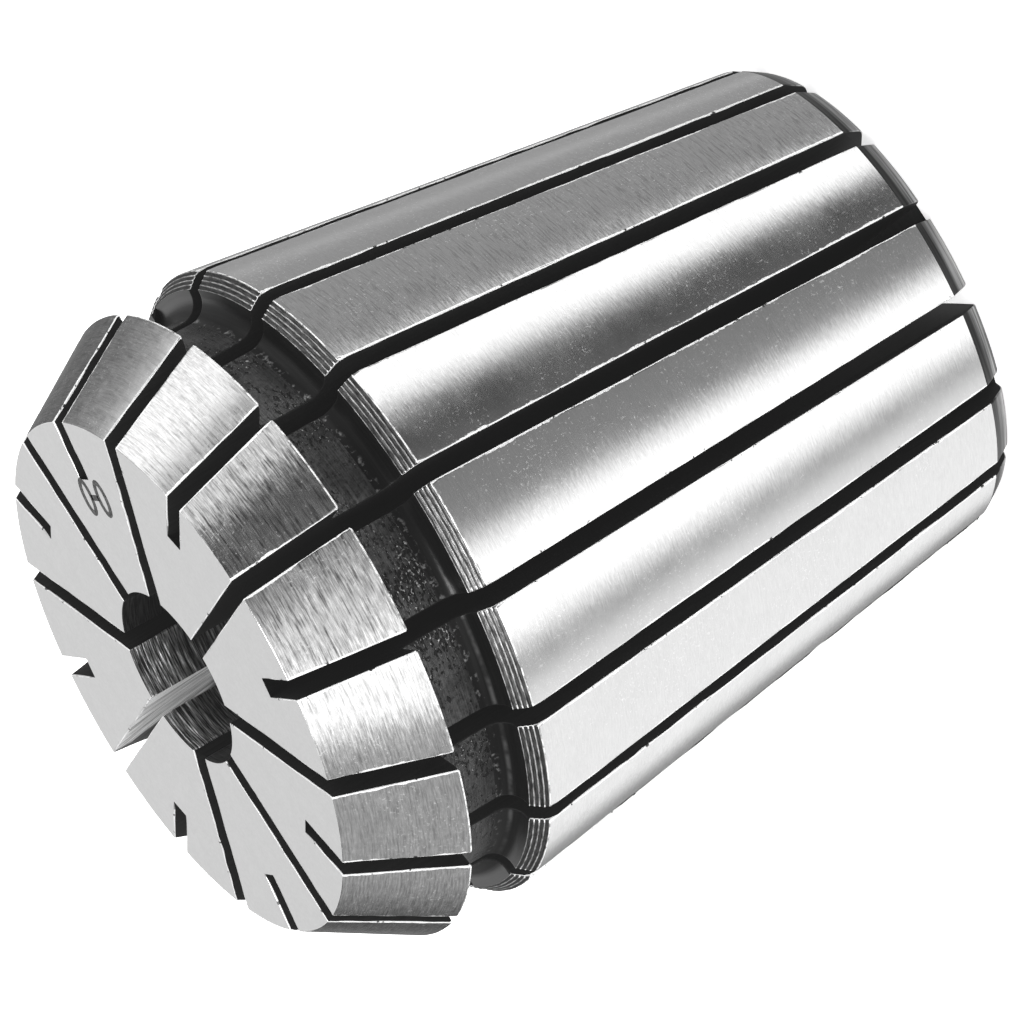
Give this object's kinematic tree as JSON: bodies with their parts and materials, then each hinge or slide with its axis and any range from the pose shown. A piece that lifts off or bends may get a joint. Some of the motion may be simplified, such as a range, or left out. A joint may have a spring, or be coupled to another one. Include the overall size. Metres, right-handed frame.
{
  "type": "spring collet",
  "caption": "Round tapered spring collet with a slotted clamping bore, a nut groove and a conical nose; stands on its rear face.",
  "frame": {"origin": "centre of the rear face, on the axis", "axes": "+Z along the axis from the rear face to the nose face; +X through one of the slots that are open at the nose"},
  "size_m": [0.033, 0.033, 0.04],
  "materials": {
    "steel": "ground and turned spring steel, satin face, blackened groove"
  },
  "bodies": {
    "root": {"collet": "steel"}
  },
  "joints": []
}
